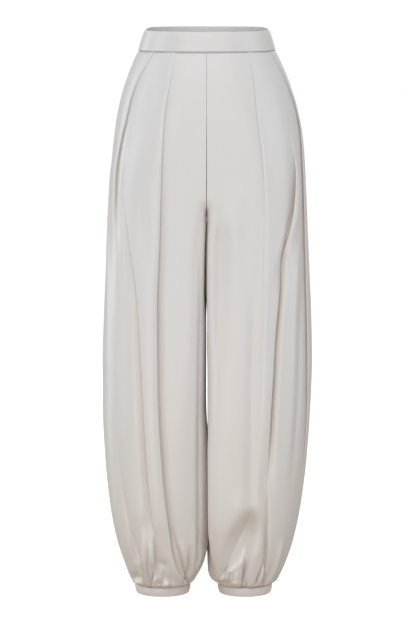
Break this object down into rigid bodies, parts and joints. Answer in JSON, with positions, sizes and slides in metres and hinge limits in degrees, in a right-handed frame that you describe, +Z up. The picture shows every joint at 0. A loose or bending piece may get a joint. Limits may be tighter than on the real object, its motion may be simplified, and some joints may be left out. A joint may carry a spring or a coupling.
{
  "type": "balloon trousers",
  "caption": "Satin balloon trousers with a plain waistband, front pleats and full legs gathered into narrow ankle cuffs, in worn shape.",
  "frame": {"origin": "centre of the waist, inside the waistband and 12.5 mm above the waist seam, where the wearer's waist holds the trousers", "axes": "+Z up towards the waist, -Y towards the front, +X towards the wearer's left"},
  "size_m": [0.383, 0.2585, 1.0385],
  "materials": {
    "satin": "smooth satin with a soft sheen",
    "zip_metal": "satin lacquer in the cloth's colour"
  },
  "bodies": {
    "trousers": {"waistband_front": "satin", "waistband_back_left": "satin", "waistband_back_right": "satin", "front_left": "satin", "front_right": "satin", "back_left": "satin", "back_right": "satin", "cuff_left": "satin", "cuff_right": "satin", "zip_slider": "zip_metal"},
    "zip_pull": {"zip_pull": "zip_metal"}
  },
  "joints": [
    {"name": "zip_pull_hinge", "type": "hinge", "parent": "trousers", "child": "zip_pull", "pos_m": [0, 0.09594, 0.017], "axis": [1, 0, 0], "range_deg": [0, 170]}
  ]
}
